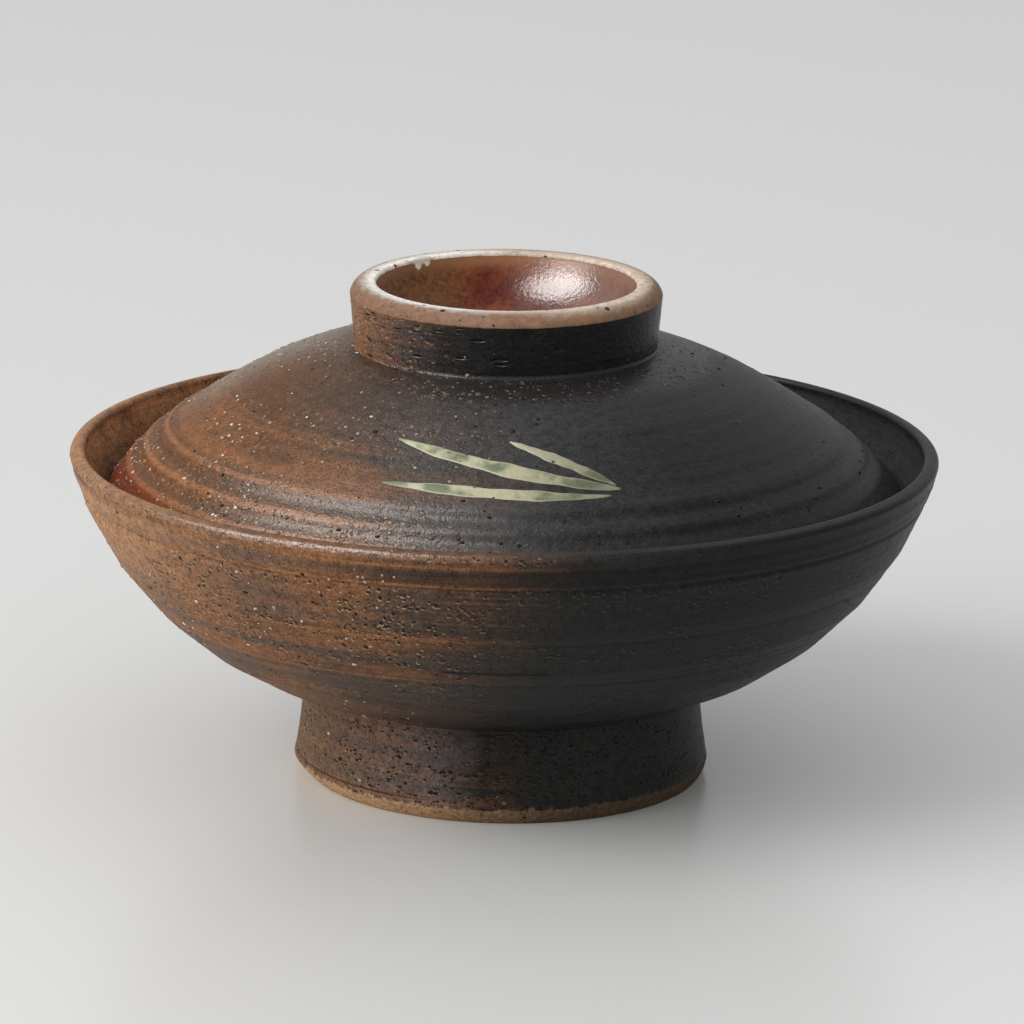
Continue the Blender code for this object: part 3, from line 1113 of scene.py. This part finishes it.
def gripSkin(plan):
    material, add = newMaterial("grip_fired_clay")
    place, axes, radius, wheel = clayBasis(add)
    x, y, z = axes
    top, base = plan["top"] * mm, plan["base"] * mm
    look = dict(flashLook, **plan["flash"])
    colour, height, warm, patch, _, sand, blotch = firedClay(add, place, axes, wheel, look)
    wander = patch - 0.5
    unglazed = 1.0 - zone(add, "glaze")

    # dashes where the trimming tool dragged grains along the wall, with painted shade in each dash, glossy
    # along their lower edge
    def dashes(lift):
        spot = moved(add, place, (0.0, 0.0, lift))
        return pits(add, stretched(add, spot, 1.0, 1.0, plan["dashFlat"]), *plan["dashes"])

    side = step(add, -x, *plan["dashSide"]) * ((1.0 - zone(add, "bare")) * unglazed)
    drag = dashes(0.0) * side
    glint = dashes(plan["dashGlint"]) * side * (1.0 - drag)
    colour = mixColour(add, drag * 0.85, colour, clayTones["pitShade"])

    # bare clay on the rim: pale on the flat, tan on the rounded corner; at the lit left the flat is whiter
    # and wider, a painted highlight
    bare = step(add, zone(add, "bare") + blotch * 0.8, *plan["bareRim"])
    litLeft = step(add, -x + wander * 0.024, *plan["litLeftStart"])
    share = 0.56 + litLeft * 0.42 + step(add, x, *plan["rimRight"]) * 0.08
    frontRight = step(add, x, *plan["frontRight"]) * step(add, -y, *plan["rimFront"])
    pale = 1.0 - step(add, radius + blotch * 0.0040 - frontRight * 0.0010, *plan["flatEdge"])
    palest = mixColour(add, litLeft, plan["flatTone"], plan["litTone"])
    rim = mixColour(add, pale * share, plan["cornerTone"], palest)
    colour = mixColour(add, bare, colour, shade(add, rim, 1.04 + blotch * 1.4 + sand * 0.7))
    holes, crumbs = openPits(add, place, 1.3, (0.15 + warm * 0.30) * unglazed * (1.0 - bare * 0.35))
    holes = holes.math("MAXIMUM", holes, pits(add, place, *plan["chips"]) * bare)
    colour = pitted(add, colour, holes, crumbs * (1.0 - bare), warm)

    # glaze in the well, thin and brown below the rim, with a painted grey sheen at the right
    glaze = step(add, zone(add, "glaze") + wander * 0.25, 0.30, 0.70)
    glazed, peel = glazeTones(add, place, x)
    thin = step(add, z + wander * 0.002, *(top - drop for drop in plan["thinGlaze"]))
    colour = mixColour(add, glaze, colour, mixColour(add, thin * 0.75, glazed, plan["thinTone"]))
    colour = mixColour(add, glaze * step(add, x, *plan["wellSheenRight"]) * 0.45, colour, plan["wellSheenTone"])
    seam = 1.0 - step(add, z, *(base + rise for rise in plan["seam"]))
    roughness = 0.36 + blotch * 0.3 + warm * 0.10 + bare * 0.20 + holes * 0.3 - glint * 0.18 - seam * 0.12
    height = height * (1.0 - bare * 0.2) - holes * 0.25 - drag * 0.50 + glint * 0.25
    height = height * (1.0 - glaze) + glaze * peel
    pooled = 0.08 + step(add, x + wander * 0.01, *plan["pooled"]) * 0.86
    shine = glint * 0.8 + seam * 0.5 + bare * litLeft * pale * 0.2
    glassy = glaze.math("MAXIMUM", glaze * pooled, shine)
    return closeMaterial(add, material, colour, roughness, height, glassy, plan["polish"])


def gripProfile(shape):
    corner = (shape["cornerRadius"], shape["top"] - shape["cornerDrop"])
    flat = (shape["flatRadius"], shape["top"])
    mouth = (shape["mouthRadius"], shape["top"] - shape["mouthRound"])
    mouthCentre = (shape["mouthRadius"] + shape["mouthRound"], shape["top"] - shape["mouthRound"])
    dish = (shape["dishRadius"], shape["dishHeight"])
    roll = shape["luting"]
    wallFoot = (shape["baseRadius"], shape["base"] + roll)

    def glazed(radius, height):
        return fade(height, *(shape["top"] - drop for drop in shape["glazeTop"]))

    def leaning(radius, height):
        return fade(height, shape["base"] + shape["leanFrom"], shape["top"])

    profile = Profile()
    profile.add(arcPoints((0.0, shape["dishMiddle"]), dish, -0.2, 18), glaze=1.0, ring=0.3)
    profile.add(arcPoints(dish, mouth, -shape["dishBelly"], 54), glaze=glazed, ring=0.3, lean=leaning,
                bare=lambda radius, height: 1.0 - glazed(radius, height))
    profile.add(roundPoints(mouthCentre, shape["mouthRound"], math.pi, math.pi / 2.0, 8),
                bare=1.0, lean=leaning)
    profile.add(linePoints((mouthCentre[0], shape["top"]), flat, 12), bare=1.0, ring=0.5, lean=leaning)
    profile.add(arcPoints(flat, corner, shape["cornerBelly"], 16),
                bare=1.0, grain=0.4, ring=0.6, lean=leaning)
    profile.add(linePoints(corner, wallFoot, 56), grain=0.5, ring=1.0, lean=leaning,
                bare=lambda radius, height: hump(height - corner[1], 0.25) * 0.7)
    profile.add(arcPoints(wallFoot, (shape["baseRadius"] + roll, shape["base"] - 0.35), -roll * 0.22, 8),
                ring=0.4)
    underEdge = (shape["baseRadius"] + roll * 0.5, shape["base"] - 0.40)
    profile.add(linePoints(underEdge, (0.0, shape["base"] - 0.25), 8))
    return profile


grip = turned("grip_ring_clay", gripProfile(gripPlan), gripSkin(gripPlan), {
    "Ring depth": 0.00004,
    "Rings per metre": 900.0,
    "Lean back": gripPlan["leanBack"],
    "Seed": 33.1,
})


# Grains of grog that burst through the surface, and flat dark discs beside them that paint the shade of their
# pits

grainPlan = {
    "perSquareMetre": 110000.0,
    "smallest": 0.00013,
    "largest": 0.00054,
    "proud": 0.40,
    "pitSpread": 0.95,           # size of the painted shade disc beside its grain
    "pitDepth": 0.000022,
    "body": 0.85,                # width of a grain and its distance from the pit, as shares of its size
    "aside": 0.75,
    "driftScale": 55.0,
    "drifts": (0.36, 0.66),
    "sparse": 0.12,              # share of the grains that is left between drifts
    "warmSide": (-0.030, 0.012),
    "charcoal": 0.035,           # share that is left on the charcoal side
    "seed": 7,
    # tone 0 is the painted shade of a pit, higher tones are the grains' own colours
    "stops": ((0.0, (0.010, 0.008, 0.007)), (0.10, (0.012, 0.009, 0.008)), (0.12, (0.130, 0.100, 0.080)),
              (0.50, (0.340, 0.245, 0.165)), (0.85, (0.500, 0.405, 0.300)), (1.0, (0.800, 0.750, 0.680))),
}


def grainSkin(plan):
    material, add = newMaterial("grog_grain_and_pit_shade")
    place = add("ShaderNodeTexCoord").out("Object")
    crumb = noise(add, place, 4000.0, 2.0)
    colour = add("ShaderNodeValToRGB", {"stops": plan["stops"]}, {"Fac": zone(add, "tone")})
    colour = shade(add, colour, 0.75 + crumb * 0.5)
    return closeMaterial(add, material, colour, 0.35 + crumb * 0.3, crumb * 0.04)


def grainTree(plan):
    tree, add = newTree("burstGrains", {
        "Geometry": ("Clay",),
        "Float": ("Density", "Smallest", "Largest", "Proud", "Pit spread", "Bare pits"),
        "Int": ("Seed",),
        "Material": ("Skin",),
    }, "Grains")
    given = add("NodeGroupInput")
    seed = given.out("Seed")

    def chance(offset, low=0.0, high=1.0):
        return add("FunctionNodeRandomValue", {"data_type": "FLOAT"},
                   {"Min": low, "Max": high, "Seed": seed + offset})

    # dense in drifts on the warm side, few on the charcoal side
    position = add("GeometryNodeInputPosition")
    x = add("ShaderNodeSeparateXYZ", None, {0: position}).out("X")
    drift = step(add, noise(add, position, plan["driftScale"], 2.0, 0.5), *plan["drifts"], plan["sparse"])
    warm = step(add, x, *plan["warmSide"], 1.0, plan["charcoal"])
    share = add("GeometryNodeInputNamedAttribute", {"data_type": "FLOAT"}, {"Name": "grain"})
    points = add("GeometryNodeDistributePointsOnFaces", {"distribute_method": "RANDOM"}, {
        "Mesh": given.out("Clay"), "Density": given.out("Density") * share * warm * drift, "Seed": seed})
    size = given.out("Smallest") + (given.out("Largest") - given.out("Smallest")) * chance(1.0) ** 2.0
    ball = add("GeometryNodeMeshIcoSphere", None, {"Radius": 1.0, "Subdivisions": 1})

    def strew(selection, reach, flat, shift, tone):
        laid = add("GeometryNodeInstanceOnPoints", None, {
            "Points": points, "Selection": selection, "Instance": ball, "Rotation": points.out("Rotation"),
            "Scale": combine(add, reach * chance(3.0, 0.8, 1.5), reach, flat)})
        aside = combine(add, chance(4.0, -1.0, 1.0) * shift, chance(5.0, -1.0, 1.0) * shift)
        laid = add("GeometryNodeTranslateInstances", None, {"Instances": laid, "Translation": aside})
        return add("GeometryNodeStoreNamedAttribute", {"data_type": "FLOAT", "domain": "INSTANCE"},
                   {"Geometry": laid, "Name": "tone", "Value": tone})

    # flat dark discs that paint the shade in the pits beside the grains
    shadedPits = strew(True, size * given.out("Pit spread"), plan["pitDepth"], 0.0, 0.0)
    draw = chance(6.0)
    filled = draw.math("GREATER_THAN", draw, given.out("Bare pits"))
    tone = (0.12 + chance(2.0) * 0.88) * warm
    grains = strew(filled, size * plan["body"], size * given.out("Proud"), size * plan["aside"], tone)
    both = add("GeometryNodeJoinGeometry", None, {"Geometry": shadedPits})
    tree.links.new(grains.socket, both.socket.node.inputs[0])
    both = add("GeometryNodeRealizeInstances", None, {"Geometry": both})
    both = add("GeometryNodeSetShadeSmooth", None, {"Geometry": both})
    both = add("GeometryNodeSetMaterial", None, {"Geometry": both, "Material": given.out("Skin")})
    add("NodeGroupOutput", None, {"Grains": both})
    return tree


burstGrains = grainTree(grainPlan)
grogGrain = grainSkin(grainPlan)


def grainsOn(name, pieces, thick, barePits, seed):
    clay = bpy.data.meshes.new(name + "_clay")
    both = bmesh.new()
    for piece in pieces:
        both.from_mesh(piece.data)
    both.to_mesh(clay)
    both.free()
    mesh = settle(clay, name, burstGrains, {
        "Density": grainPlan["perSquareMetre"] * thick, "Smallest": grainPlan["smallest"],
        "Largest": grainPlan["largest"], "Proud": grainPlan["proud"], "Pit spread": grainPlan["pitSpread"],
        "Bare pits": barePits, "Seed": grainPlan["seed"] + seed, "Skin": grogGrain})
    print("scattered", name, len(mesh.polygons), "faces")
    return addObject(name, mesh)


bowlGrains = grainsOn("bowl_grains", (bowl, foot), thick=1.3, barePits=0.40, seed=0)
lidGrains = grainsOn("lid_grains", (lid, grip), thick=4.0, barePits=0.08, seed=50)


# Pale ash-glaze brush strokes on the lid, and a drip on the grip's rim

brush = {
    "waves": ((0.10, 17.0, 2.1), (0.06, 41.0, 1.0)),  # ragged edge: depth, pace, shift between blades
    "ends": 0.015,               # how blunt the ends are
    "probe": 0.6,                # half the span that the surface's slope is read over, in millimetres
    "fullness": 0.55,
    "edgeTone": (0.300, 0.240, 0.140),
    "coolTone": (0.090, 0.098, 0.072),
    "coolRight": (-0.006, 0.026),
}

strokePlan = {
    "azimuth": math.radians(-90.0),
    "distance": 31.0,            # along the dome from the grip, to the middle of the motif
    "thickness": 0.15,
    "sink": 0.10,
    "blades": (                  # four points of each blade (around, down), widest half width
        (((22.0, 5.0), (8.0, 2.0), (-8.0, -3.0), (-20.0, -7.0)), 1.9),
        (((20.0, 6.5), (6.0, 6.5), (-8.0, 4.5), (-23.0, 4.5)), 1.6),
        (((21.0, 4.0), (14.0, -1.0), (7.0, -5.0), (1.0, -8.0)), 1.3),
    ),
    "stepsAlong": 56,
    "stepsAcross": 10,
}

dripPlan = {
    "azimuth": math.radians(132.0),
    "thickness": 0.16,
    "sink": 0.08,
    "blades": (
        (((-2.9, -0.5), (-1.2, -0.3), (1.0, -0.7), (2.8, -0.4)), 0.95),
        (((0.6, -0.4), (0.8, -1.0), (0.9, -1.6), (1.0, -2.3)), 0.95),
        (((-1.6, -0.4), (-1.5, -0.8), (-1.4, -1.2), (-1.3, -1.9)), 0.95),
    ),
    "stepsAlong": 26,
    "stepsAcross": 8,
}


def skinOf(points, tip):
    # a place on a turned surface from its turn and its distance along the profile
    distances = distancesAlong(points)

    def at(distance):
        last = len(points) - 2
        index = clamp(sum(1 for value in distances if value <= distance) - 1, 0, last)
        share = (distance - distances[index]) / (distances[index + 1] - distances[index])
        before, after = points[index], points[index + 1]
        return tuple(before[axis] + share * (after[axis] - before[axis]) for axis in (0, 1))

    def place(azimuth, distance, lift):
        radius, height = at(distance)
        sideR, sideZ = leftOf(at(distance - brush["probe"]), at(distance + brush["probe"]))
        radius += sideR * lift
        height += sideZ * lift
        x, y = radius * math.cos(azimuth), radius * math.sin(azimuth)
        return Vector((x, y, height + tip(x, y, radius))) * mm

    return at, place


def strokeLoop(shell, edgeLayer, shape, ribbon):
    # one ring of vertices across a stroke: over its swollen top from side to side, then back below
    at, place, distance, spot, side, half = ribbon
    across = shape["stepsAcross"]
    shares = [1.0 - 2.0 * q / across for q in range(across + 1)]
    loop = []
    for share, under in [(share, False) for share in shares] + [(-share, True) for share in shares[1:-1]]:
        swell = math.sqrt(max(0.0, 1.0 - share * share))
        lift = -shape["sink"] if under else swell * (shape["thickness"] + shape["sink"]) - shape["sink"]
        around = spot[0] + side[0] * half * share
        down = distance + spot[1] + side[1] * half * share
        vertex = shell.verts.new(place(shape["azimuth"] + around / at(down)[0], down, lift))
        vertex[edgeLayer] = abs(share)
        loop.append(vertex)
    return loop


def brushStrokes(name, points, distance, shape, tip, skin):
    at, place = skinOf(points, tip)
    shell = bmesh.new()
    edgeLayer = shell.verts.layers.float.new("edge")
    along = shape["stepsAlong"]
    for number, (corners, width) in enumerate(shape["blades"]):
        loops = []
        path = curvePoints(*corners, along)
        for index, spot in enumerate(path):
            t = index / along
            side = leftOf(path[max(0, index - 1)], path[min(along, index + 1)])
            waves = [depth * math.sin(pace * t + number * shift) for depth, pace, shift in brush["waves"]]
            half = width * (1.0 + sum(waves))
            half *= math.sin(math.pi * clamp(t, brush["ends"], 1.0 - brush["ends"])) ** brush["fullness"]
            loops.append(strokeLoop(shell, edgeLayer, shape, (at, place, distance, spot, side, half)))
        for first, second in zip(loops, loops[1:]):
            for i in range(len(first)):
                j = (i + 1) % len(first)
                shell.faces.new((first[i], first[j], second[j], second[i]))
        shell.faces.new(loops[0])
        shell.faces.new(list(reversed(loops[-1])))
    bmesh.ops.recalc_face_normals(shell, faces=shell.faces)
    mesh = bpy.data.meshes.new(name)
    shell.to_mesh(mesh)
    shell.free()
    mesh.polygons.foreach_set("use_smooth", [True] * len(mesh.polygons))
    mesh.materials.append(skin)
    print("brushed", name, len(mesh.polygons), "faces")
    return addObject(name, mesh)


def ashGlazeSkin(name, pale, deep):
    material, add = newMaterial(name)
    place = add("ShaderNodeTexCoord").out("Object")
    x = add("ShaderNodeSeparateXYZ", None, {0: place}).out("X")
    edge = zone(add, "edge")
    pool = noise(add, place, 130.0, 3.0)
    crackle = noise(add, place, 1500.0, 3.0, 0.7)
    tone = mixColour(add, step(add, pool, 0.46, 0.62) * (1.0 - step(add, edge, 0.5, 0.9)), pale, deep)
    tone = mixColour(add, step(add, edge, 0.80, 1.0) * 0.5, tone, brush["edgeTone"])
    tone = mixColour(add, step(add, x, *brush["coolRight"]) * 0.7, tone, brush["coolTone"])
    tone = shade(add, tone, 0.72 + crackle * 0.56)
    return closeMaterial(add, material, tone, 0.26 + crackle * 0.16, crackle * 0.06 + pool * 0.10)


ashGlaze = ashGlazeSkin("ash_glaze", pale=(0.520, 0.490, 0.330), deep=(0.170, 0.205, 0.110))
creamGlaze = ashGlazeSkin("cream_glaze", pale=(0.760, 0.710, 0.600), deep=(0.600, 0.530, 0.390))


def lidTip(x, y, radius):
    return x * lidPlan["leanRight"] * lidLeaning(radius, 0.0)


def gripTip(x, y, radius):
    return y * gripPlan["leanBack"]


lidStrokes = brushStrokes(
    "lid_brush_strokes", lidDome(lidPlan), strokePlan["distance"], strokePlan, lidTip, ashGlaze)


def gripMouth(shape):
    # the grip's profile from inside the well over the flat rim, and the distance of its inner edge
    points = [point for point in gripProfile(shape).points if point[1] > shape["dishHeight"]]
    last = max(index for index, point in enumerate(points) if point[1] > shape["top"] - 0.01)
    points = points[:last + 1]
    edge = next(index for index, point in enumerate(points) if point[1] > shape["top"] - 0.05)
    return points, distancesAlong(points)[edge]


mouthPoints, mouthEdge = gripMouth(gripPlan)
gripDrip = brushStrokes("grip_glaze_drip", mouthPoints, mouthEdge, dripPlan, gripTip, creamGlaze)


# Floor, light and camera

stage = {
    "floorHalf": 6.0,
    "floorTone": (0.802, 0.803, 0.783),
    "floorRoughness": 0.28,
    "skyTone": (0.98, 0.99, 1.0),
    "skyBase": 0.355,
    "glowFocus": 4.0,
    "glows": (                   # way to each glow, strength
        ((0.0, 1.0, 1.0), 0.48),
        ((0.0, -1.0, 1.0), 0.60),
        ((-1.0, 0.0, 0.25), 0.15),
    ),
    "lamps": (                   # name, place, size, power, whether it lights or only shows in gloss
        ("key_softbox", (-1.45, -0.75, 1.15), 1.40, 25.5, True),
        ("sheen_card", (-1.19, -0.25, 1.85), 1.45, 83.0, False),
    ),
    "aim": (0.0, 0.0, 0.05),
}


def layFloor():
    half = stage["floorHalf"]
    corners = [(x * half, y * half, 0.0) for x, y in ((-1, -1), (1, -1), (1, 1), (-1, 1))]
    mesh = bpy.data.meshes.new("floor")
    mesh.from_pydata(corners, [], [(0, 1, 2, 3)])
    material, add = newMaterial("pale_floor")
    surface = add("ShaderNodeBsdfPrincipled", None, {
        "Base Color": (*stage["floorTone"], 1.0), "Roughness": stage["floorRoughness"]})
    add("ShaderNodeOutputMaterial", None, {"Surface": surface})
    mesh.materials.append(material)
    floor = addObject("floor", mesh)


def softbox(name, place, size, power, lights):
    lamp = bpy.data.lights.new(name, "AREA")
    lamp.shape = "SQUARE"
    lamp.size = size
    lamp.energy = power
    box = addObject(name, lamp)
    box.visible_diffuse = lights
    aim = Vector(stage["aim"]) - Vector(place)
    box.matrix_world = Matrix.Translation(place) @ aim.to_track_quat("-Z", "Y").to_matrix().to_4x4()


def lightRoom():
    world = bpy.data.worlds.new("studio")
    bpy.context.scene.world = world
    world.use_nodes = True
    tree = world.node_tree
    tree.nodes.clear()
    add = partial(Wire.node, tree)
    way = add("ShaderNodeTexCoord").out("Generated")
    strength = stage["skyBase"]
    for towards, glow in stage["glows"]:
        facing = add("ShaderNodeVectorMath", {"operation": "DOT_PRODUCT"},
                     {0: way, 1: Vector(towards).normalized()}).out("Value")
        strength = strength + facing.math("MAXIMUM", facing, 0.0) ** stage["glowFocus"] * glow
    sky = add("ShaderNodeBackground", None, {"Color": (*stage["skyTone"], 1.0), "Strength": strength})
    add("ShaderNodeOutputWorld", None, {"Surface": sky})
    for lamp in stage["lamps"]:
        softbox(*lamp)
    bpy.context.scene.view_settings.view_transform = "Standard"


cameraFit = {
    "place": (0.0, -1.0966, 0.33425),
    "pitch": 14.465,             # degrees down
    "yaw": 0.084,                # degrees to the right
    "roll": 0.736,
    "focalPixels": 5832.1,
    "imageWidth": 1024.0,
    "sensorWidth": 36.0,
    "near": 0.01,
    "far": 50.0,
}


def standCamera():
    lens = bpy.data.cameras.new("camera")
    lens.sensor_width = cameraFit["sensorWidth"]
    lens.lens = cameraFit["focalPixels"] / cameraFit["imageWidth"] * cameraFit["sensorWidth"]
    lens.clip_start = cameraFit["near"]
    lens.clip_end = cameraFit["far"]
    camera = addObject("camera", lens)
    turn = Matrix.Rotation(math.radians(-cameraFit["yaw"]), 4, "Z")
    tilt = Matrix.Rotation(math.radians(90.0 - cameraFit["pitch"]), 4, "X")
    roll = Matrix.Rotation(math.radians(cameraFit["roll"]), 4, "Z")
    camera.matrix_world = Matrix.Translation(cameraFit["place"]) @ turn @ tilt @ roll
    bpy.context.scene.camera = camera


layFloor()
lightRoom()
standCamera()
print("stage set")


# What each piece rides on and stands for

for piece, body, slot, nodes in (
    (bowl, "bowl_body", "bowl", ("bowl",)),
    (foot, "bowl_body", "foot_ring", ("foot_ring",)),
    (lid, "lid_body", "lid", ("lid",)),
    (grip, "lid_body", "lid_ring", ("lid_ring",)),
    (bowlGrains, "bowl_body", "bowl", ()),
    (lidGrains, "lid_body", "lid", ()),
    (lidStrokes, "lid_body", "lid", ()),
    (gripDrip, "lid_body", "lid_ring", ()),
):
    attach(piece, body)
    if nodes:
        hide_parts(*nodes)
